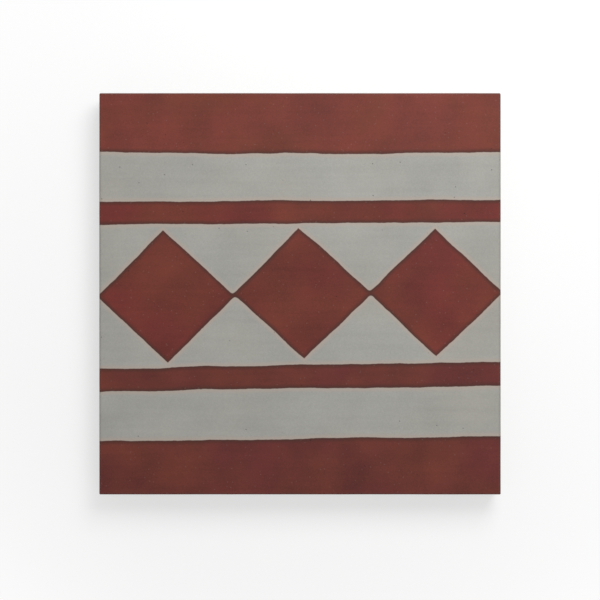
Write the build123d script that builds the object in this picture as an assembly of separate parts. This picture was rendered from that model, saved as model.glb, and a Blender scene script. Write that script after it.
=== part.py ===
from build123d import *
from build123d.topology import SkipClean

import os

# Cement border tile, pressed in a mould as one slab, with red cement poured flush into its gray face.
# It lies face up on its bed. +Z points out of the face, +X runs along the border and +Y across it.
# The origin is at the middle of the bed, which lies on z = 0. Lengths are in millimetres.

# Driving dimensions of the slab
FACE_LENGTH = 200.0  # face along the border, between the sharp edges that the arris rounds off
FACE_WIDTH = 200.0  # face across the border, between the same edges
THICKNESS = 16.0  # from the bed to the face
SIDE_DRAFT = 2.0  # degrees that every side leans in below the face, so that faces meet at a thin joint
MOULD_CORNER = 1.0  # radius of the upright corners, where two mould walls meet
FACE_ARRIS = 0.6  # radius that softens the edges of the face
BED_CHAMFER = 0.6  # width of the broken edges of the bed, measured along the bed and up the side

# Driving dimensions of the inlay
INLAY_DEPTH = 3.5  # how far the red pours reach down from the face
OUTER_BAND = 30.5  # width of the band along the outer edge
INNER_BAND = 28.0  # width of the band along the inner edge
THIN_LINE = 11.5  # width of the two lines on either side of the lozenges
LOZENGE_FIELD = 70.5  # clear width between those two lines
LOZENGE_COUNT = 3  # lozenges along the tile
LOZENGE_HEIGHT = 65.0  # from point to point across the border
LOZENGE_NECK = 1.6  # width of the red where the side points of two lozenges run into each other


def pressed_slab() -> Part:
    """Shape the slab as it leaves the mould.

    A block as large as the face stands on the bed. Its four sides are drafted about the face, so that
    the face keeps its size and the bed is smaller by the lean. The upright corners are then rounded.
    """
    block = extrude(Rectangle(FACE_LENGTH, FACE_WIDTH), THICKNESS)
    sides = block.faces().filter_by(Axis.Z, reverse=True)
    face_plane = Plane.XY.offset(THICKNESS)
    drafted = draft(sides, face_plane, -SIDE_DRAFT)  # minus leans the sides in below the face
    upright_edges = drafted.edges().filter_by(Plane.XY, reverse=True)
    return fillet(upright_edges, MOULD_CORNER)


def eased_edges(slab: Part) -> Part:
    """Round the arris all round the face, and break the edges all round the bed."""
    face_edges = slab.edges().group_by(Axis.Z)[-1]
    arrised = fillet(face_edges, FACE_ARRIS)
    bed_edges = arrised.edges().group_by(Axis.Z)[0]
    return chamfer(bed_edges, BED_CHAMFER)


def lozenge_row() -> Sketch:
    """Lay the lozenges in a row along the tile.

    They share the length of the face. Each is a little longer than its share, so that its side points
    run into the next lozenge, or off the tile, where they are as wide as the neck.
    """
    pitch = FACE_LENGTH / LOZENGE_COUNT
    half_height = LOZENGE_HEIGHT / 2
    half_length = pitch / 2 * LOZENGE_HEIGHT / (LOZENGE_HEIGHT - LOZENGE_NECK)
    points = [(half_length, 0), (0, half_height), (-half_length, 0), (0, -half_height)]
    lozenge = Polygon(*points, align=None)
    return Sketch() + GridLocations(pitch, 0, LOZENGE_COUNT, 1) * lozenge


def red_pours() -> Part:
    """Shape the red cement: the two bands, the two thin lines and the lozenges, from the face down."""
    outer_band = Pos(0, (FACE_WIDTH - OUTER_BAND) / 2) * Rectangle(FACE_LENGTH, OUTER_BAND)
    inner_band = Pos(0, (INNER_BAND - FACE_WIDTH) / 2) * Rectangle(FACE_LENGTH, INNER_BAND)
    line_pitch = LOZENGE_FIELD + THIN_LINE
    thin_lines = GridLocations(0, line_pitch, 1, 2) * Rectangle(FACE_LENGTH, THIN_LINE)
    layout = Sketch() + [outer_band, inner_band] + thin_lines + lozenge_row()
    return extrude(Plane.XY.offset(THICKNESS) * layout, -INLAY_DEPTH)


def inlaid(slab: Part, pours: Part) -> Part:
    """Set the red cement flush into the slab.

    The slab is parted along the pours and joined again as one solid. Joining without cleaning keeps
    the outline of every pour as a seam on the face and the sides.
    """
    with SkipClean():
        ground = slab - pours
        red = slab & pours
        return ground + red


os.makedirs("parts", exist_ok=True)
border_tile = inlaid(eased_edges(pressed_slab()), red_pours())
export_step(border_tile, "parts/border_tile.step")
print(f"border_tile: {border_tile.volume / 1000:.1f} cubic centimetres, {len(border_tile.faces())} faces")
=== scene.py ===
"""Cement border tile: a pressed slab whose face is inlaid with red bands, thin lines and a row of lozenges.

The slab's skin is worked out as one closed surface around the CAD solid's box. Its colours are poured
pigments, so they reach a little way down the sides, over plain mortar. Lengths are in metres.
"""

import logging
from dataclasses import dataclass, field
from enum import Enum
from math import pi, radians, tan
from typing import Union

import bpy
import numpy as np
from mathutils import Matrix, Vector


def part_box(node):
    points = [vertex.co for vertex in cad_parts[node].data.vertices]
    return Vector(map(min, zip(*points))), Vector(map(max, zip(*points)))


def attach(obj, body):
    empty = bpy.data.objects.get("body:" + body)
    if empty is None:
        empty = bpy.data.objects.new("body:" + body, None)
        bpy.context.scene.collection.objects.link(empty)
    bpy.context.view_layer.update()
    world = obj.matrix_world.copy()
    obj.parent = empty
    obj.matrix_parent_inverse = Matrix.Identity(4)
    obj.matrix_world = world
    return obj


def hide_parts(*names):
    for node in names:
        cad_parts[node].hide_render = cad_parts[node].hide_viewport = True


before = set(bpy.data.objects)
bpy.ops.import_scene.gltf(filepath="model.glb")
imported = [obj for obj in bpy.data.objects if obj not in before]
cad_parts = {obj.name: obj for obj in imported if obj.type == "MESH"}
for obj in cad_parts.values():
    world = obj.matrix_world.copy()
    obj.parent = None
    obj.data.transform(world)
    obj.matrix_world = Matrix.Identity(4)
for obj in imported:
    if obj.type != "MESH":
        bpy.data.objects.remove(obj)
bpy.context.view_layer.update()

LOG = logging.getLogger("border_tile")
MM = 0.001
TILE_NODE = "border_tile"
TILE_BODY = "root"
PHOTO_SIDE = 600.0  # pixels along each side of the photograph's frame
PIGMENT_DEPTH = 3.5 * MM  # how far the coloured cement reaches down from the face
FLOAT = "NodeSocketFloat"
VECTOR = "NodeSocketVector"
WHITE = (1.0, 1.0, 1.0, 1.0)

Colour = tuple[float, float, float]
Span = tuple[float, float]
Socket = bpy.types.NodeSocket
Value = Union[Socket, float, tuple]


class Sheet(Enum):
    """The six sheets of a box's skin, each as (axis it faces, end of that axis)."""

    LEFT = (0, 0)
    RIGHT = (0, 1)
    INNER = (1, 0)
    OUTER = (1, 1)
    BED = (2, 0)
    FACE = (2, 1)


@dataclass(frozen=True)
class PouredLine:
    """Line between two pours, right across the tile.

    Its height at x is level + rise times x + bow times x squared, measured from the tile's middle.

    Attributes:
        level: Height where the line crosses the middle of the tile.
        rise: Slope of the line, as height gained for each unit of length.
        bow: How fast the line curves up towards both ends, for each metre.
    """

    level: float
    rise: float = 0.0
    bow: float = 0.0


@dataclass(frozen=True)
class Lozenge:
    """Square set on its point.

    Its outline is where |x| / half_width + |y| / half_height is 1, measured from its middle, with x
    shifted by lean times y.

    Attributes:
        x: Middle along the border.
        y: Middle across the border.
        half_width: From the middle to the left and right points.
        half_height: From the middle to the top and bottom points.
        lean: Sideways shift of the top point for each unit of height.
    """

    x: float
    y: float
    half_width: float
    half_height: float
    lean: float


@dataclass(frozen=True)
class BorderDesign:
    """Hand-poured layout of the face: where each red pour ends.

    Attributes:
        outer_band: Lower edge of the wide band along the outer edge.
        upper_line: Upper and lower edges of the thin line above the lozenges.
        lower_line: Upper and lower edges of the thin line below the lozenges.
        inner_band: Upper edge of the wide band along the inner edge.
        lozenges: Row of lozenges along the middle, point to point.
        neck: How near two lozenges' points come before they run together.
        strays: How the pours stray from their lines: widest stray, and the length over which it comes back.
    """

    outer_band: PouredLine = PouredLine(69.4 * MM, bow=0.12)
    upper_line: tuple[PouredLine, PouredLine] = (
        PouredLine(46.4 * MM, rise=0.005),
        PouredLine(35.1 * MM, rise=0.008),
    )
    lower_line: tuple[PouredLine, PouredLine] = (
        PouredLine(-35.6 * MM, rise=0.016),
        PouredLine(-47.3 * MM, rise=0.013),
    )
    inner_band: PouredLine = PouredLine(-72.1 * MM, rise=0.013)
    lozenges: tuple[Lozenge, ...] = (
        Lozenge(-66.7 * MM, -1.3 * MM, 34.0 * MM, 32.8 * MM, -0.034),
        Lozenge(0.9 * MM, 0.1 * MM, 34.2 * MM, 32.8 * MM, -0.036),
        Lozenge(67.5 * MM, 0.7 * MM, 33.6 * MM, 32.0 * MM, -0.018),
    )
    neck: float = 3.2 * MM
    strays: tuple[Span, ...] = (
        (1.3 * MM, 34 * MM),
        (0.35 * MM, 9 * MM),
        (0.16 * MM, 1.5 * MM),
    )


@dataclass(frozen=True)
class Pour:
    """One cement as it was poured: its colour and how unevenly it set.

    Attributes:
        name: Plain name, used for its node.
        colour: Linear colour of the dry cement.
        warm: Linear colour of the patches where it set warmer.
        cloud_size: Width of the soft clouds in it.
        cloud_depth: How much lighter and darker the clouds are, as a share.
        streak_depth: The same for streaks along the border.
        grain_depth: The same for single grains.
        grain_size: Width of those grains.
        seed: Number that sets its clouds apart from other pours.
    """

    name: str
    colour: Colour
    warm: Colour
    cloud_size: float
    cloud_depth: float
    streak_depth: float
    grain_depth: float
    grain_size: float
    seed: float


LOZENGE_RED = Pour(
    name="lozenge_red",
    colour=(0.131, 0.0208, 0.0162),
    warm=(0.140, 0.0325, 0.0168),
    cloud_size=18 * MM,
    cloud_depth=0.44,
    streak_depth=0.14,
    grain_depth=0.22,
    grain_size=0.7 * MM,
    seed=3.0,
)
STONE_GRAY = Pour(
    name="stone_gray",
    colour=(0.344, 0.341, 0.314),
    warm=(0.352, 0.339, 0.302),
    cloud_size=24 * MM,
    cloud_depth=0.17,
    streak_depth=0.07,
    grain_depth=0.12,
    grain_size=0.7 * MM,
    seed=11.0,
)
CAST_MORTAR = Pour(
    name="cast_mortar",
    colour=(0.285, 0.272, 0.243),
    warm=(0.300, 0.278, 0.238),
    cloud_size=12 * MM,
    cloud_depth=0.25,
    streak_depth=0.0,
    grain_depth=0.55,
    grain_size=0.9 * MM,
    seed=23.0,
)


@dataclass(frozen=True)
class Specks:
    """Small round spots scattered over the surface.

    Attributes:
        spacing: Distance between the places where a spot may be.
        radius: Radius of a spot.
        share: Share of those places that get one.
        colour: Linear colour of a spot: its own colour for grains, painted shade for air holes.
        strength: How far the surface takes that colour.
    """

    spacing: float
    radius: float
    share: float
    colour: Colour
    strength: float


@dataclass(frozen=True)
class Drift:
    """Slow stray of one measure over the surface.

    Attributes:
        size: Width of its features.
        reach: How far the measure strays either way.
        seed: Number that sets it apart from other noise.
        detail: How many finer layers are added.
    """

    size: float
    reach: float
    seed: float
    detail: float = 4.0


@dataclass(frozen=True)
class PressedCement:
    """Finish of the whole tile: two pigments poured into the face, over mortar.

    Attributes:
        red: Pigment of the lozenges and thin lines.
        gray: Pigment of the ground.
        mortar: Body under the pigments, bare on the bed and low on the sides.
        warmth: How far the patches that set warmer take their own colour.
        outer_red: Colour of the red pour in the outer band, a lighter batch.
        outer_turn: Places across the border where that batch starts and where it is in full.
        inner_red: Colour of the red pours in the inner band and the line next to it, a darker batch.
        inner_turn: The same two places for that batch.
        rim_red: Colour of red where it settled thick along its edge.
        rim_strength: How far red takes that colour.
        bleed_gray: Colour of gray that took up a little red along its edge.
        bleed_strength: How far gray takes that colour.
        rim_width: Width of those two rims.
        edge_blur: Half the width over which one pigment turns into the other.
        layer_depth: How far the pigments reach down the sides.
        layer_wave: How that depth strays.
        layer_blur: Where the pigments start to give way to mortar and where they end, from that depth.
        red_extra: How much further down red reaches than gray.
        arris_painted_shade: Colour of painted shade along the rounded arris of the face, where it turns away
            from the light.
        arris_shade_strength: How far the arris takes that painted shade.
        arris_shade_band: Distances inside the tile's sides where the painted shade starts and where it is in
            full.
        pale_grains: Pale sand that shows in the face.
        shaded_face_holes: Air holes in the face, darkened with painted shade in their pits.
        shaded_mortar_holes: Air holes in the mortar, darkened with painted shade in their pits.
        roughness: Roughness of the pressed face.
        mortar_roughness: Roughness of the bare mortar.
        roughness_drift: How both stray.
        gloss: Level of the clear reflection over the colour.
        face_grain: Height of the face's grain, as a share of a hole's depth.
        mortar_grain: The same for the mortar's grain.
        hole_depth: Depth of a hole in the fine relief.
        relief_strength: How strongly the fine relief shows.
    """

    red: Pour = LOZENGE_RED
    gray: Pour = STONE_GRAY
    mortar: Pour = CAST_MORTAR
    warmth: float = 0.6
    outer_red: Colour = (0.153, 0.031, 0.0215)
    outer_turn: Span = (56 * MM, 60 * MM)
    inner_red: Colour = (0.109, 0.0205, 0.018)
    inner_turn: Span = (-33.5 * MM, -36.5 * MM)
    rim_red: Colour = (0.048, 0.017, 0.012)
    rim_strength: float = 0.8
    bleed_gray: Colour = (0.430, 0.352, 0.300)
    bleed_strength: float = 0.75
    rim_width: float = 2.6 * MM
    edge_blur: float = 0.22 * MM
    layer_depth: float = PIGMENT_DEPTH
    layer_wave: Drift = Drift(size=9 * MM, reach=0.9 * MM, seed=31.0)
    layer_blur: Span = (-0.15 * MM, 0.35 * MM)
    red_extra: float = 0.3 * MM
    # Painted shade: the face's colour is darkened along its rounded arris
    arris_painted_shade: Colour = (0.075, 0.055, 0.045)
    arris_shade_strength: float = 0.22
    arris_shade_band: Span = (1.6 * MM, 0.2 * MM)
    pale_grains: Specks = Specks(2.3 * MM, 0.42 * MM, 0.5, colour=(0.55, 0.5, 0.44), strength=0.06)
    # Air holes get a dark colour: painted shade in their pits
    shaded_face_holes: Specks = Specks(4.5 * MM, 0.36 * MM, 0.2, colour=(0.03, 0.022, 0.018), strength=0.30)
    shaded_mortar_holes: Specks = Specks(3.2 * MM, 0.75 * MM, 0.35, colour=(0.06, 0.055, 0.05), strength=0.55)
    roughness: float = 0.66
    mortar_roughness: float = 0.92
    roughness_drift: Drift = Drift(size=14 * MM, reach=0.06, seed=41.0)
    gloss: float = 0.25
    face_grain: float = 0.10
    mortar_grain: float = 0.5
    hole_depth: float = 0.35 * MM
    relief_strength: float = 0.8


class Wiring:
    """Adds and joins the nodes of one shader tree."""

    def __init__(self, tree: bpy.types.NodeTree) -> None:
        """Keep the tree that the nodes go into."""
        self.tree = tree

    def node(self, kind: str, **settings: object) -> bpy.types.Node:
        """Add a node.

        Args:
            kind: Blender's name of the node type.
            settings: Properties to set on it.

        Returns:
            The new node.
        """
        made = self.tree.nodes.new(kind)
        for name, setting in settings.items():
            setattr(made, name, setting)
        return made

    def feed(self, socket: Socket, value: Value) -> None:
        """Link another socket into this one, or set it to a plain value.

        Args:
            socket: Socket that is fed.
            value: Socket or plain value that it gets.
        """
        if isinstance(value, Socket):
            self.tree.links.new(value, socket)
        else:
            socket.default_value = value

    def math(self, operation: str, *values: Value) -> Socket:
        """Work out one number.

        Args:
            operation: Blender's name of the operation.
            values: Sockets or numbers that it works on.

        Returns:
            Socket with the result.
        """
        made = self.node("ShaderNodeMath", operation=operation)
        for socket, value in zip(made.inputs, values):
            self.feed(socket, value)
        return made.outputs[0]

    def chain(self, operation: str, values: list[Value]) -> Socket:
        """Fold a list of numbers together.

        Args:
            operation: Blender's name of the operation, such as MINIMUM.
            values: Sockets or numbers, folded in from the first to the last.

        Returns:
            Socket with the result.
        """
        result = values[0]
        for value in values[1:]:
            result = self.math(operation, result, value)
        return result

    def ramp(self, value: Value, start: Value, end: Value) -> Socket:
        """Ease from 0 to 1 as a value goes from start to end, and stay flat outside.

        Args:
            value: The value.
            start: Where the result leaves 0.
            end: Where it reaches 1.

        Returns:
            Socket with the result.
        """
        made = self.node("ShaderNodeMapRange", interpolation_type="SMOOTHSTEP")
        self.feed(made.inputs["Value"], value)
        self.feed(made.inputs["From Min"], start)
        self.feed(made.inputs["From Max"], end)
        return made.outputs["Result"]

    def blend(self, share: Value, first: Value, second: Value) -> Socket:
        """Mix two colours.

        Args:
            share: 0 for the first colour, 1 for the second.
            first: Socket or colour.
            second: Socket or colour.

        Returns:
            Socket with the mixed colour.
        """
        made = self.node("ShaderNodeMix", data_type="RGBA")
        colour_inputs = [s for s in made.inputs if s.type == "RGBA"]
        self.feed(made.inputs[0], share)
        for socket, value in zip(colour_inputs, (first, second)):
            self.feed(socket, value if isinstance(value, Socket) else (*value, 1.0))
        return next(s for s in made.outputs if s.type == "RGBA")

    def mix_shaders(self, share: Value, first: Socket, second: Socket) -> Socket:
        """Mix two shaders.

        Args:
            share: 0 for the first shader, 1 for the second.
            first: Output of the first shader.
            second: Output of the second shader.

        Returns:
            Socket with the mixed shader.
        """
        made = self.node("ShaderNodeMixShader")
        for socket, value in zip(made.inputs, (share, first, second)):
            self.feed(socket, value)
        return made.outputs[0]

    def vector(self, operation: str, first: Value, second: Value) -> Socket:
        """Work out one vector.

        Args:
            operation: Blender's name of the operation.
            first: Vector that it works on.
            second: The other vector, or a number where the operation is SCALE.

        Returns:
            Socket with the result.
        """
        made = self.node("ShaderNodeVectorMath", operation=operation)
        self.feed(made.inputs[0], first)
        self.feed(made.inputs["Scale"] if operation == "SCALE" else made.inputs[1], second)
        return made.outputs[0]

    def noise(self, where: Value, size: Value, seed: Value, detail: float = 2.0) -> bpy.types.Node:
        """Add a noise texture with features of one size.

        Args:
            where: Coordinates to read.
            size: Width of the features, in metres.
            seed: Number that sets it apart from other noise.
            detail: How many finer layers are added.

        Returns:
            The node, with outputs Fac, about 0.5, and Color.
        """
        made = self.node("ShaderNodeTexNoise", noise_dimensions="4D")
        self.feed(made.inputs["Vector"], where)
        self.feed(made.inputs["W"], seed)
        self.feed(made.inputs["Scale"], self.math("DIVIDE", 1.0, size))
        self.feed(made.inputs["Detail"], detail)
        return made

    def swing(self, noise: Value, depth: Value) -> Socket:
        """Turn noise about 0.5 into a number that swings about 0 by up to the depth."""
        return self.math("MULTIPLY", self.math("SUBTRACT", noise, 0.5), self.math("MULTIPLY", depth, 2.0))

    def drift(self, where: Value, drift: Drift) -> Socket:
        """Add the noise of one drift, as a number that swings about 0 by up to its reach."""
        noise = self.noise(where, drift.size, drift.seed, drift.detail)
        return self.swing(noise.outputs["Fac"], drift.reach)


class EffectGroup:
    """Shader node group with named inputs and outputs."""

    def __init__(self, name: str, inputs: dict[str, str], outputs: dict[str, str]) -> None:
        """Make an empty group.

        Args:
            name: Name of the group.
            inputs: Name and socket type of each input.
            outputs: Name and socket type of each output.
        """
        self.tree = bpy.data.node_groups.new(name, "ShaderNodeTree")
        for in_out, sockets in (("INPUT", inputs), ("OUTPUT", outputs)):
            for socket_name, kind in sockets.items():
                self.tree.interface.new_socket(socket_name, in_out=in_out, socket_type=kind)
        self.wiring = Wiring(self.tree)
        self.inputs = self.wiring.node("NodeGroupInput").outputs
        self.outputs = self.wiring.node("NodeGroupOutput").inputs

    def place(self, wiring: Wiring, **values: Value) -> bpy.types.Node:
        """Place the group in a material.

        Args:
            wiring: The material's tree.
            values: Value of each input, with underscores for the spaces in its name.

        Returns:
            The group's node.
        """
        made = wiring.node("ShaderNodeGroup", node_tree=self.tree)
        for name, value in values.items():
            wiring.feed(made.inputs[name.replace("_", " ")], value)
        return made


def cement_mottle_group() -> EffectGroup:
    """Make the unevenness of set cement: soft clouds, streaks along the border and single grains.

    Shade is 1 plus the swings of the three. Warmth is a slow mask of patches. Relief is the mean of
    clouds and grains, for the height of the skin from 0 to 1.

    Returns:
        The group.
    """
    inputs = {"Vector": VECTOR, "Cloud Size": FLOAT, "Cloud Depth": FLOAT}
    inputs |= {"Streak Depth": FLOAT, "Grain Depth": FLOAT, "Grain Size": FLOAT, "Seed": FLOAT}
    group = EffectGroup("cement_mottle", inputs, {"Shade": FLOAT, "Warmth": FLOAT, "Relief": FLOAT})
    w, given = group.wiring, group.inputs
    cloud_detail, streak_detail, grain_detail, patch_detail = 5.0, 3.0, 1.0, 3.0
    streak_squeeze, streak_width = (0.05, 1.0, 1.0), 2.6 * MM
    patch_spread, patch_seed_step = 1.8, 5.0
    warm_start, warm_end = 0.38, 0.66

    clouds = w.noise(given["Vector"], given["Cloud Size"], given["Seed"], cloud_detail).outputs["Fac"]
    along = w.vector("MULTIPLY", given["Vector"], streak_squeeze)
    streaks = w.noise(along, streak_width, given["Seed"], streak_detail).outputs["Fac"]
    grains = w.noise(given["Vector"], given["Grain Size"], given["Seed"], grain_detail).outputs["Fac"]
    swings = [
        w.swing(clouds, given["Cloud Depth"]),
        w.swing(streaks, given["Streak Depth"]),
        w.swing(grains, given["Grain Depth"]),
    ]
    w.feed(group.outputs["Shade"], w.chain("ADD", [1.0, *swings]))
    patch_size = w.math("MULTIPLY", given["Cloud Size"], patch_spread)
    patch_seed = w.math("ADD", given["Seed"], patch_seed_step)
    patches = w.noise(given["Vector"], patch_size, patch_seed, patch_detail).outputs["Fac"]
    w.feed(group.outputs["Warmth"], w.ramp(patches, warm_start, warm_end))
    w.feed(group.outputs["Relief"], w.math("MULTIPLY", w.math("ADD", clouds, grains), 0.5))
    return group


def scattered_spots_group() -> EffectGroup:
    """Make scattered round spots, for air holes and single grains.

    Cells of the given spacing each hold one point, and the share of them that is chosen gets a spot.
    Spot is 1 in a spot and 0 between spots, and eases over the outer part of a spot's radius.

    Returns:
        The group.
    """
    inputs = {"Vector": VECTOR, "Spacing": FLOAT, "Radius": FLOAT, "Share": FLOAT}
    group = EffectGroup("scattered_spots", inputs, {"Spot": FLOAT})
    w, given = group.wiring, group.inputs
    full_share = 0.45
    cells = w.node("ShaderNodeTexVoronoi")
    w.feed(cells.inputs["Vector"], given["Vector"])
    w.feed(cells.inputs["Scale"], w.math("DIVIDE", 1.0, given["Spacing"]))
    distance = w.math("MULTIPLY", cells.outputs["Distance"], given["Spacing"])
    inside = w.ramp(distance, given["Radius"], w.math("MULTIPLY", given["Radius"], full_share))
    draw = w.node("ShaderNodeSeparateColor")
    w.feed(draw.inputs[0], cells.outputs["Color"])
    chosen = w.math("LESS_THAN", draw.outputs[0], given["Share"])
    w.feed(group.outputs["Spot"], w.math("MULTIPLY", inside, chosen))
    return group


def border_inlay_group(design: BorderDesign) -> EffectGroup:
    """Make the layout of the face as one distance: how far a point lies outside the nearest red pour.

    Each band is the distance past its line, each thin line the larger distance past its two edges, and
    each lozenge its outline's value times the distance from its middle to a side. Lozenges run into
    each other through a smoothed minimum. The smallest of all is the distance, negative inside red.
    Points stray a little first, so that no line is ruled.

    Args:
        design: The layout.

    Returns:
        The group.
    """
    group = EffectGroup("border_inlay", {"Vector": VECTOR}, {"Distance": FLOAT})
    w, where = group.wiring, group.inputs["Vector"]
    first_seed = 2
    noise_middle = (0.5, 0.5, 0.5)
    for seed, (reach, length) in enumerate(design.strays, first_seed):
        stray = w.noise(group.inputs["Vector"], length, float(seed)).outputs["Color"]
        centred = w.vector("SUBTRACT", stray, noise_middle)
        where = w.vector("ADD", where, w.vector("SCALE", centred, 2.0 * reach))
    axes = w.node("ShaderNodeSeparateXYZ")
    w.feed(axes.inputs[0], where)
    x, y = axes.outputs["X"], axes.outputs["Y"]

    def above(line: PouredLine) -> Socket:
        """Height of the point over a poured line."""
        bowed = w.math("MULTIPLY_ADD", x, line.bow, line.rise)
        return w.math("SUBTRACT", y, w.math("MULTIPLY_ADD", x, bowed, line.level))

    def past(lozenge: Lozenge) -> Socket:
        """Distance of the point outside a lozenge.

        Args:
            lozenge: The lozenge.

        Returns:
            Socket with the distance, negative inside.
        """
        up = w.math("SUBTRACT", y, lozenge.y)
        sideways = w.math("SUBTRACT", w.math("SUBTRACT", x, lozenge.x), w.math("MULTIPLY", up, lozenge.lean))
        across = w.math("DIVIDE", w.math("ABSOLUTE", sideways), lozenge.half_width)
        outline = w.math("ADD", across, w.math("DIVIDE", w.math("ABSOLUTE", up), lozenge.half_height))
        side = lozenge.half_width * lozenge.half_height / np.hypot(lozenge.half_width, lozenge.half_height)
        return w.math("MULTIPLY", w.math("SUBTRACT", outline, 1.0), float(side))

    pours = [w.math("MULTIPLY", above(design.outer_band), -1.0), above(design.inner_band)]
    for upper, lower in (design.upper_line, design.lower_line):
        pours.append(w.math("MAXIMUM", above(upper), w.math("MULTIPLY", above(lower), -1.0)))
    row = past(design.lozenges[0])
    for lozenge in design.lozenges[1:]:
        row = w.math("SMOOTH_MIN", row, past(lozenge), design.neck)
    w.feed(group.outputs["Distance"], w.chain("MINIMUM", [*pours, row]))
    return group


@dataclass
class CementDresser:
    """Makes the tile's material from its finish, its design and its size.

    Attributes:
        finish: Colours, roughness and fine relief.
        design: Layout of the face.
        top: Height of the face.
        half_side: Half the tile's side.
        mottle: Shared unevenness of all three cements.
        spots: Shared spots, for grains and air holes.
    """

    finish: PressedCement
    design: BorderDesign
    top: float
    half_side: float
    mottle: EffectGroup = field(default_factory=cement_mottle_group)
    spots: EffectGroup = field(default_factory=scattered_spots_group)

    def poured(self, w: Wiring, pour: Pour, where: Value, base: Value) -> tuple[Socket, Socket]:
        """Colour one cement.

        Args:
            w: The material's tree.
            pour: The cement.
            where: Object coordinates.
            base: Its colour before it set unevenly.

        Returns:
            Sockets with its colour and its relief.
        """
        mottle = self.mottle.place(
            w,
            Vector=where,
            Cloud_Size=pour.cloud_size,
            Cloud_Depth=pour.cloud_depth,
            Streak_Depth=pour.streak_depth,
            Grain_Depth=pour.grain_depth,
            Grain_Size=pour.grain_size,
            Seed=pour.seed,
        )
        mottle.label = pour.name
        warm_share = w.math("MULTIPLY", mottle.outputs["Warmth"], self.finish.warmth)
        warmed = w.blend(warm_share, base, pour.warm)
        return w.vector("SCALE", warmed, mottle.outputs["Shade"]), mottle.outputs["Relief"]

    def speckled(self, w: Wiring, specks: Specks, where: Value, colour: Value) -> tuple[Socket, Socket]:
        """Scatter spots over a colour.

        Args:
            w: The material's tree.
            specks: The spots.
            where: Object coordinates.
            colour: Colour between the spots.

        Returns:
            Sockets with the colour, and with a mask that is 1 in a spot.
        """
        sizes = {"Spacing": specks.spacing, "Radius": specks.radius, "Share": specks.share}
        spot = self.spots.place(w, Vector=where, **sizes).outputs["Spot"]
        return w.blend(w.math("MULTIPLY", spot, specks.strength), colour, specks.colour), spot

    def face_colour(self, w: Wiring, where: Value, distance: Value, y: Value) -> tuple[Socket, ...]:
        """Colour the pigments of the face.

        Args:
            w: The material's tree.
            where: Object coordinates.
            distance: Distance outside the nearest red pour.
            y: Place across the border.

        Returns:
            Sockets with the colour, the share of red and the relief.
        """
        finish = self.finish
        red_base = w.blend(w.ramp(y, *finish.outer_turn), finish.red.colour, finish.outer_red)
        red_base = w.blend(w.ramp(y, *finish.inner_turn), red_base, finish.inner_red)
        red, red_relief = self.poured(w, finish.red, where, red_base)
        gray, gray_relief = self.poured(w, finish.gray, where, finish.gray.colour)
        rim = w.math("MULTIPLY", w.ramp(distance, -finish.rim_width, 0.0), finish.rim_strength)
        bleed = w.math("MULTIPLY", w.ramp(distance, finish.rim_width, 0.0), finish.bleed_strength)
        red = w.blend(rim, red, finish.rim_red)
        gray = w.blend(bleed, gray, finish.bleed_gray)
        share = w.ramp(distance, finish.edge_blur, -finish.edge_blur)
        relief = w.math("ADD", w.math("MULTIPLY", red_relief, share), gray_relief)
        return w.blend(share, gray, red), share, relief

    def painted_arris_shade(self, w: Wiring, x: Value, y: Value, colour: Value) -> Socket:
        """Paint shade into a colour along the rounded arris, all round the face: darker within a narrow band
        inside the sides.

        Args:
            w: The material's tree.
            x: Place along the border.
            y: Place across the border.
            colour: Colour of the face.

        Returns:
            Socket with the colour.
        """
        # Painted shade, darkest at the arris where the rounded edge turns away from the light
        outermost = w.math("MAXIMUM", w.math("ABSOLUTE", x), w.math("ABSOLUTE", y))
        start, end = (self.half_side - inset for inset in self.finish.arris_shade_band)
        share = w.math("MULTIPLY", w.ramp(outermost, start, end), self.finish.arris_shade_strength)
        return w.blend(share, colour, self.finish.arris_painted_shade)

    def bare_mortar(self, w: Wiring, where: Value, z: Value, red_share: Value) -> Socket:
        """Find where mortar shows: pigments end at an uneven depth, a little lower where red.

        Args:
            w: The material's tree.
            where: Object coordinates.
            z: Height over the bed.
            red_share: 1 in red, 0 in gray.

        Returns:
            Socket that is 0 in the pigments and 1 in the mortar.
        """
        finish = self.finish
        depth = w.math("ADD", w.math("SUBTRACT", self.top, z), w.drift(where, finish.layer_wave))
        reach = w.math("MULTIPLY_ADD", red_share, finish.red_extra, finish.layer_depth)
        return w.ramp(w.math("SUBTRACT", depth, reach), *finish.layer_blur)

    def material(self) -> bpy.types.Material:
        """Wire the whole material.

        Returns:
            The material, on Object coordinates.
        """
        finish = self.finish
        made = bpy.data.materials.new("pressed_cement")
        made.use_nodes = True
        w = Wiring(made.node_tree)
        shader = made.node_tree.nodes["Principled BSDF"]
        where = w.node("ShaderNodeTexCoord").outputs["Object"]
        axes = w.node("ShaderNodeSeparateXYZ")
        w.feed(axes.inputs[0], where)
        x, y, z = axes.outputs

        inlay = border_inlay_group(self.design).place(w, Vector=where)
        face, red_share, face_relief = self.face_colour(w, where, inlay.outputs["Distance"], y)
        # Painted shade along the arris
        face = self.painted_arris_shade(w, x, y, face)
        face, _ = self.speckled(w, finish.pale_grains, where, face)
        # Painted shade in the face's air holes
        face, face_hole = self.speckled(w, finish.shaded_face_holes, where, face)
        mortar, mortar_relief = self.poured(w, finish.mortar, where, finish.mortar.colour)
        # Painted shade in the mortar's air holes
        mortar, mortar_hole = self.speckled(w, finish.shaded_mortar_holes, where, mortar)
        under = self.bare_mortar(w, where, z, red_share)
        w.feed(shader.inputs["Base Color"], w.blend(under, face, mortar))

        rougher = finish.mortar_roughness - finish.roughness
        roughness = w.math("MULTIPLY_ADD", under, rougher, finish.roughness)
        w.feed(shader.inputs["Roughness"], w.math("ADD", roughness, w.drift(where, finish.roughness_drift)))
        shader.inputs["Specular IOR Level"].default_value = finish.gloss

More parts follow.
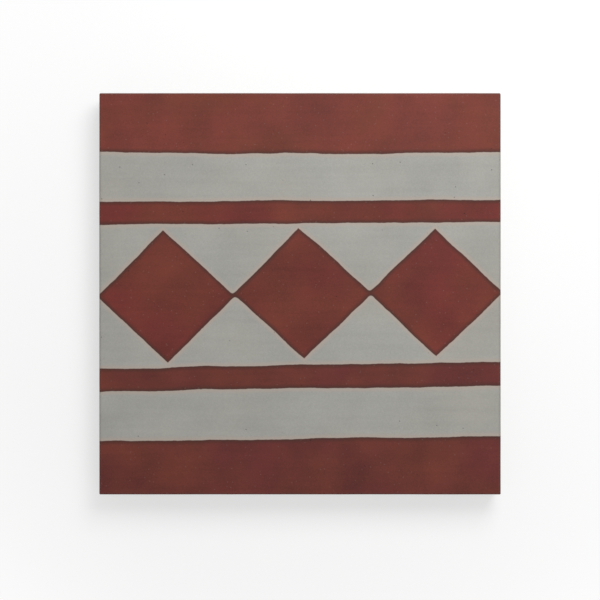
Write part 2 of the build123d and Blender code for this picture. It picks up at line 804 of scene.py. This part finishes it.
        # Fine relief as shares of a hole's depth: grain stands up and holes go down
        face_skin = w.math("SUBTRACT", w.math("MULTIPLY", face_relief, finish.face_grain), face_hole)
        mortar_skin = w.math("SUBTRACT", w.math("MULTIPLY", mortar_relief, finish.mortar_grain), mortar_hole)
        shown_face = w.math("MULTIPLY", face_skin, w.math("SUBTRACT", 1.0, under))
        shown_mortar = w.math("MULTIPLY", mortar_skin, under)
        bump = w.node("ShaderNodeBump")
        bump.inputs["Distance"].default_value = finish.hole_depth
        bump.inputs["Strength"].default_value = finish.relief_strength
        w.feed(bump.inputs["Height"], w.math("ADD", shown_face, shown_mortar))
        w.feed(shader.inputs["Normal"], bump.outputs[0])
        return made


def eased_step(values: np.ndarray, start: float, end: float) -> np.ndarray:
    """Ease from 0 to 1 as values go from start to end: share squared times 3 less twice the share."""
    share = np.clip((values - start) / (end - start), 0.0, 1.0)
    return share * share * (3.0 - 2.0 * share)


@dataclass(frozen=True)
class LatticeNoise:
    """Smooth noise in space, which is cut into cubic cells with a random number at each corner.

    Attributes:
        cell: Side of a cell.
        seed: Number that sets it apart from other noise.
        period: Number of cells after which it repeats.
    """

    cell: float
    seed: int
    period: int = 64

    def at(self, points: np.ndarray) -> np.ndarray:
        """Work out the noise at many points.

        A point's value is the mean of its cell's eight corners, weighted by an eased share of the way
        across the cell on each axis.

        Args:
            points: Coordinates, one row a point.

        Returns:
            One value from 0 to 1 for each point.
        """
        corners = np.random.default_rng(self.seed).random((self.period,) * 3)
        scaled = points / self.cell
        base = np.floor(scaled)
        eased = eased_step(scaled - base, 0.0, 1.0)
        base = base.astype(int)
        total = np.zeros(len(points))
        for step in np.ndindex(2, 2, 2):
            weight = np.prod(np.where(step, eased, 1.0 - eased), axis=1)
            i, j, k = ((base + step) % self.period).T
            total += weight * corners[i, j, k]
        return total


@dataclass(frozen=True)
class SkinRelief:
    """How far the pressed skin lies under the true shape, each depth being the deepest.

    Attributes:
        waves: Slow waves of the face and the sides.
        sand: Grain of the mortar.
        drag: Marks that the mould drags into the mortar of the sides.
        drag_squeeze: How space is squeezed on each axis, so that those marks stand upright.
        hollows: Wide hollows of the bed.
        holes: Noise whose highest places are air holes.
        hole_start: Values of that noise where a hole starts and where it is deepest.
        face_wave: Depth of the waves on the face.
        side_wave: Depth of the waves on the sides.
        side_sand: Depth of the mortar's grain on the sides.
        side_drag: Depth of the drag marks.
        bed_sand: Depth of the mortar's grain on the bed.
        bed_hollow: Depth of the hollows.
        hole_depth: Depth of a hole.
        mortar_turn: Height under the pigments over which the mortar's skin takes over on the sides.
        sound_edge: Distances from the slab's edges where holes start and where they are in full.
    """

    waves: LatticeNoise = LatticeNoise(38 * MM, 71)
    sand: LatticeNoise = LatticeNoise(1.7 * MM, 72)
    drag: LatticeNoise = LatticeNoise(1.3 * MM, 73)
    drag_squeeze: tuple[float, float, float] = (1.0, 1.0, 0.12)
    hollows: LatticeNoise = LatticeNoise(16 * MM, 75)
    holes: LatticeNoise = LatticeNoise(2.6 * MM, 74)
    hole_start: Span = (0.74, 0.93)
    face_wave: float = 0.03 * MM
    side_wave: float = 0.07 * MM
    side_sand: float = 0.09 * MM
    side_drag: float = 0.06 * MM
    bed_sand: float = 0.10 * MM
    bed_hollow: float = 0.10 * MM
    hole_depth: float = 0.5 * MM
    mortar_turn: float = 2 * MM
    sound_edge: Span = (1.2 * MM, 4 * MM)


@dataclass
class TileSlab:
    """The pressed slab as one closed skin around the CAD solid's box.

    Attributes:
        low: Lowest corner of the CAD solid.
        high: Highest corner of the CAD solid.
        draft: Angle that the sides lean in below the face.
        arris: Radius of the eased edges.
        arris_swing: How much that radius strays, as a share.
        arris_stray: Noise that it strays by.
        step: Spacing of the skin's points along and across the face.
        rise_step: Spacing of the points up the sides.
        arris_steps: Number of spans across an eased edge.
        pigment_depth: Depth of the smooth pigmented skin on the sides.
        skin: Unevenness of the skin.
        name: Name of the piece.
    """

    low: np.ndarray
    high: np.ndarray
    draft: float = radians(2.0)
    arris: float = 0.7 * MM
    arris_swing: float = 0.25
    arris_stray: LatticeNoise = LatticeNoise(7 * MM, 61)
    step: float = 1.25 * MM
    rise_step: float = 0.65 * MM
    arris_steps: int = 4
    pigment_depth: float = PIGMENT_DEPTH
    skin: SkinRelief = SkinRelief()
    name: str = "cement_border_tile"

    def graded(self, low: float, high: float, step: float) -> np.ndarray:
        """Space points along one axis: fine over the eased edges at both ends, even between them.

        Args:
            low: First place.
            high: Last place.
            step: Spacing between the edges.

        Returns:
            Places in rising order.
        """
        edge = self.arris * (1.0 + self.arris_swing)
        fine = np.linspace(0.0, edge, self.arris_steps + 1)
        count = int(round((high - low - 2.0 * edge) / step))
        even = np.linspace(low + edge, high - edge, count + 1)
        return np.concatenate([low + fine[:-1], even, high - fine[-2::-1]])

    @staticmethod
    def box_skin(counts: tuple[int, int, int]) -> list[tuple[Sheet, np.ndarray]]:
        """Lay the skin of a box out as six grids of lattice points.

        Args:
            counts: Number of lattice points on each axis.

        Returns:
            Each sheet with the lattice points of its quads' corners, which run anticlockwise seen from
            outside.
        """
        sheets = []
        for sheet in Sheet:
            axis, end = sheet.value
            along, across = (axis + 1) % 3, (axis + 2) % 3
            grid = np.meshgrid(np.arange(counts[along]), np.arange(counts[across]), indexing="ij")
            place = np.empty(grid[0].shape + (3,), int)
            place[..., axis] = end * (counts[axis] - 1)
            place[..., along], place[..., across] = grid
            ring = [place[:-1, :-1], place[1:, :-1], place[1:, 1:], place[:-1, 1:]]
            quads = np.stack(ring, axis=2).reshape(-1, 4, 3)
            sheets.append((sheet, quads if end else quads[:, ::-1]))
        return sheets

    @staticmethod
    def on_box(places: list[np.ndarray], lattice: np.ndarray) -> np.ndarray:
        """Look up where lattice points lie on the sharp box, from the places along each axis."""
        return np.stack([p[i] for p, i in zip(places, np.moveaxis(lattice, -1, 0))], axis=-1)

    def rounded(self, sharp: np.ndarray) -> tuple[np.ndarray, np.ndarray]:
        """Ease the edges of a sharp box and lean its sides.

        A point is pulled back to the nearest place inside the box shrunk by the radius, then pushed out
        again by the radius towards where it came from, which rounds every edge and corner. Its x and y
        are then scaled down with its depth under the face, by the draft.

        Args:
            sharp: Points on the sharp box.

        Returns:
            Points of the eased and drafted slab, and the outward direction at each.
        """
        stray = self.arris_stray.at(sharp) * 2.0 - 1.0
        radius = self.arris * (1.0 + self.arris_swing * stray)[:, None]
        core = np.clip(sharp, self.low + radius, self.high - radius)
        out = sharp - core
        out /= np.linalg.norm(out, axis=1, keepdims=True)
        points = core + radius * out
        half = (self.high - self.low)[:2] / 2.0
        depth = self.high[2] - points[:, 2:3]
        points[:, :2] *= 1.0 - depth * tan(self.draft) / half
        return points, out

    def relief(self, points: np.ndarray, out: np.ndarray) -> np.ndarray:
        """Work out how far the skin lies under the true shape, all inwards.

        The face is pressed nearly flat and keeps only slow waves. The sides have slow waves, and drag
        marks, grain and air holes in the mortar under the pigments. The bed is mortar, sandy and pitted.
        Each depth is multiplied by its noise and by the share of face, mortar side or bed at the point.
        Holes fade out near the edges of the slab, which stay sound.

        Args:
            points: Points of the slab.
            out: Outward direction at each.

        Returns:
            Depth at each point.
        """
        skin = self.skin
        depth = self.high[2] - points[:, 2]
        face = np.clip(out[:, 2], 0.0, 1.0)
        bed = np.clip(-out[:, 2], 0.0, 1.0)
        side = 1.0 - face - bed
        mortar = side * eased_step(depth, self.pigment_depth, self.pigment_depth + skin.mortar_turn)

        # A point lies on one sheet, so its second smallest distance to the sheets is that to an edge
        to_edge = np.sort(np.minimum(points - self.low, self.high - points), axis=1)[:, 1]
        sound = eased_step(to_edge, *skin.sound_edge)
        holes = skin.hole_depth * sound * eased_step(skin.holes.at(points), *skin.hole_start)
        waves = skin.waves.at(points)
        sand = skin.sand.at(points)
        drag = skin.drag.at(points * skin.drag_squeeze)
        hollows = skin.hollows.at(points)
        return (
            (face * skin.face_wave + side * skin.side_wave) * waves
            + mortar * (skin.side_sand * sand + skin.side_drag * drag + holes)
            + bed * (skin.bed_sand * sand + skin.bed_hollow * hollows + holes)
        )

    def bake_map(self, sheet: Sheet, sharp: np.ndarray) -> np.ndarray:
        """Lay one sheet out flat on the map that its colours are baked to.

        The face takes three quarters of the map's width. The sides are strips above it, at the same
        scale, and the bed is a small square beside it.

        Args:
            sheet: The sheet.
            sharp: Corners of its quads on the sharp box.

        Returns:
            Place of each corner on the map, from 0 to 1.
        """
        margin, face_share, bed_share = 0.004, 0.735, 0.245
        size = self.high - self.low
        share = (sharp - self.low) / size
        past_face = face_share + 2 * margin
        if sheet is Sheet.FACE:
            return margin + face_share * share[..., :2]
        if sheet is Sheet.BED:
            return np.array((past_face, margin)) + bed_share * share[..., :2]
        run = 1 if sheet in (Sheet.LEFT, Sheet.RIGHT) else 0
        height = face_share * size[2] / size[run]
        row = [Sheet.LEFT, Sheet.RIGHT, Sheet.INNER, Sheet.OUTER].index(sheet)
        u = margin + face_share * share[..., run]
        v = past_face + row * (height + margin) + height * share[..., 2]
        return np.stack([u, v], axis=-1)

    def build(self) -> bpy.types.Object:
        """Make the slab's mesh.

        Returns:
            The piece, at the origin, with its place in its mesh.
        """
        steps = (self.step, self.step, self.rise_step)
        places = [self.graded(*ends) for ends in zip(self.low, self.high, steps)]
        sheets = self.box_skin(tuple(len(p) for p in places))
        corners = np.concatenate([sheet_quads for _, sheet_quads in sheets])
        lattice, index = np.unique(corners.reshape(-1, 3), axis=0, return_inverse=True)
        points, out = self.rounded(self.on_box(places, lattice))
        points -= self.relief(points, out)[:, None] * out
        quads = index.reshape(-1, 4)

        mesh = bpy.data.meshes.new(self.name)
        mesh.vertices.add(len(points))
        mesh.vertices.foreach_set("co", points.ravel())
        mesh.loops.add(quads.size)
        mesh.loops.foreach_set("vertex_index", quads.ravel())
        mesh.polygons.add(len(quads))
        mesh.polygons.foreach_set("loop_start", np.arange(0, quads.size, 4))
        mesh.polygons.foreach_set("loop_total", np.full(len(quads), 4))
        mesh.update(calc_edges=True)
        flat = [self.bake_map(sheet, self.on_box(places, sheet_quads)) for sheet, sheet_quads in sheets]
        mesh.uv_layers.new(name="OFBake").data.foreach_set("uv", np.concatenate(flat).ravel())
        mesh.shade_smooth()
        mesh.validate()
        piece = bpy.data.objects.new(self.name, mesh)
        bpy.context.collection.objects.link(piece)
        LOG.info("%s: %d points, %d quads", self.name, len(points), len(quads))
        return piece

    def dress(self, piece: bpy.types.Object, finish: PressedCement, design: BorderDesign) -> None:
        """Give the slab its material and its place in the frame.

        Args:
            piece: The slab's object.
            finish: Colours, roughness and fine relief.
            design: Layout of the face.
        """
        half_side = float(self.high[0] - self.low[0]) / 2.0
        dresser = CementDresser(finish, design, float(self.high[2]), half_side)
        piece.data.materials.append(dresser.material())
        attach(piece, TILE_BODY)
        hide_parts(TILE_NODE)
        LOG.info("%s: dressed in pressed cement", piece.name)


@dataclass
class Studio:
    """Pale floor, soft light from the outer right, and a camera straight above the tile.

    Attributes:
        face: Middle of the tile's face.
        face_side: Side of the tile's face.
        picture_side: Width of the tile in the picture, in pixels.
        picture_drop: How far the tile's middle stands above the picture's middle, in pixels.
        lens: Focal length in millimetres.
        sensor: Width of the sensor in millimetres.
        key_offset: Place of the soft box, from the middle of the face.
        key_size: Side of the soft box.
        key_level: Share of the plain light level that the soft box gives.
        fill_level: Share that the surroundings give.
        floor_reach: Half the side of the floor.
        floor_colour: Linear colour of the floor.
        floor_roughness: Roughness of the floor.
        near_white: Share of plain white in the floor next to the tile, as the camera sees it.
        white_turn: Distances from the tile's middle where that share starts to grow and where it is 1.
    """

    face: np.ndarray
    face_side: float
    picture_side: float = 401.8
    picture_drop: float = 6.2
    lens: float = 100.0
    sensor: float = 36.0
    key_offset: tuple[float, float, float] = (0.23, 0.44, 0.58)
    key_size: float = 0.45
    key_level: float = 0.65
    fill_level: float = 0.39
    floor_reach: float = 12.0
    floor_colour: Colour = (0.95, 0.95, 0.95)
    floor_roughness: float = 0.9
    near_white: float = 0.6
    white_turn: Span = (0.12, 0.28)

    def camera(self) -> None:
        """Hang the camera so that the tile is as wide in the picture as planned."""
        pixel = self.face_side / self.picture_side
        distance = pixel * PHOTO_SIDE * self.lens / self.sensor
        data = bpy.data.cameras.new("camera")
        data.lens = self.lens
        data.sensor_width = self.sensor
        seen = bpy.data.objects.new("camera", data)
        seen.location = self.face + (0.0, -self.picture_drop * pixel, distance)
        bpy.context.collection.objects.link(seen)
        bpy.context.scene.camera = seen
        LOG.info("camera: %.3f m above the face", distance)

    def key_light(self) -> None:
        """Hang the soft box, with the power that gives its share of the plain level on the face."""
        offset = np.array(self.key_offset)
        reach = float(np.linalg.norm(offset))
        slant = float(offset[2]) / reach
        data = bpy.data.lights.new("soft_box", "AREA")
        data.size = self.key_size
        data.energy = self.key_level * pi**2 * reach**2 / slant
        lamp = bpy.data.objects.new("soft_box", data)
        lamp.location = self.face + offset
        aim = Vector(self.face) - lamp.location
        lamp.rotation_euler = aim.to_track_quat("-Z", "Y").to_euler()
        bpy.context.collection.objects.link(lamp)
        LOG.info("soft box: %.2f W", data.energy)

    @staticmethod
    def seen_directly(w: Wiring) -> Socket:
        """Tell camera, glossy and transmission rays from the rest.

        Args:
            w: Tree of the material or the surroundings.

        Returns:
            Socket that is 1 for those rays.
        """
        path = w.node("ShaderNodeLightPath").outputs
        kinds = [path["Is Camera Ray"], path["Is Glossy Ray"], path["Is Transmission Ray"]]
        return w.chain("MAXIMUM", kinds)

    def surroundings(self) -> None:
        """Light the scene evenly from all round, with a white background."""
        world = bpy.data.worlds.new("surroundings")
        world.use_nodes = True
        bpy.context.scene.world = world
        w = Wiring(world.node_tree)
        fill = world.node_tree.nodes["Background"]
        fill.inputs["Color"].default_value = WHITE
        fill.inputs["Strength"].default_value = self.fill_level
        white = w.node("ShaderNodeBackground")
        white.inputs["Color"].default_value = WHITE
        mixed = w.mix_shaders(self.seen_directly(w), fill.outputs[0], white.outputs[0])
        w.feed(world.node_tree.nodes["World Output"].inputs[0], mixed)

    def floor_finish(self) -> bpy.types.Material:
        """Make the floor's material, which keeps the tile's shadow and fades to white further out.

        Returns:
            The material.
        """
        pale = bpy.data.materials.new("pale_floor")
        pale.use_nodes = True
        w = Wiring(pale.node_tree)
        shader = pale.node_tree.nodes["Principled BSDF"]
        shader.inputs["Base Color"].default_value = (*self.floor_colour, 1.0)
        shader.inputs["Roughness"].default_value = self.floor_roughness
        shader.inputs["Specular IOR Level"].default_value = 0.0
        white = w.node("ShaderNodeEmission")
        length = w.node("ShaderNodeVectorMath", operation="LENGTH")
        w.feed(length.inputs[0], w.node("ShaderNodeTexCoord").outputs["Object"])
        turn = w.ramp(length.outputs["Value"], *self.white_turn)
        fade = w.math("MULTIPLY_ADD", turn, 1.0 - self.near_white, self.near_white)
        share = w.math("MULTIPLY", fade, self.seen_directly(w))
        mixed = w.mix_shaders(share, shader.outputs[0], white.outputs[0])
        w.feed(pale.node_tree.nodes["Material Output"].inputs[0], mixed)
        return pale

    def floor(self) -> None:
        """Lay the floor, one square, under the tile."""
        reach = self.floor_reach
        corners = [(-reach, -reach, 0.0), (reach, -reach, 0.0), (reach, reach, 0.0), (-reach, reach, 0.0)]
        mesh = bpy.data.meshes.new("floor")
        mesh.from_pydata(corners, [], [(0, 1, 2, 3)])
        mesh.materials.append(self.floor_finish())
        ground = bpy.data.objects.new("floor", mesh)
        bpy.context.collection.objects.link(ground)

    def build(self) -> None:
        """Set up the floor, the light and the camera."""
        self.floor()
        self.surroundings()
        self.key_light()
        self.camera()
        bpy.context.scene.view_settings.view_transform = "Standard"


def main() -> None:
    """Build the tile and its studio."""
    logging.basicConfig(level=logging.INFO, format="%(name)s %(message)s")
    low, high = (np.array(corner, float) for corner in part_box(TILE_NODE))
    slab = TileSlab(low, high)
    piece = slab.build()
    slab.dress(piece, PressedCement(), BorderDesign())
    face = np.array(((low[0] + high[0]) / 2.0, (low[1] + high[1]) / 2.0, high[2]))
    Studio(face, float(high[0] - low[0])).build()


if __name__ == "__main__":
    main()
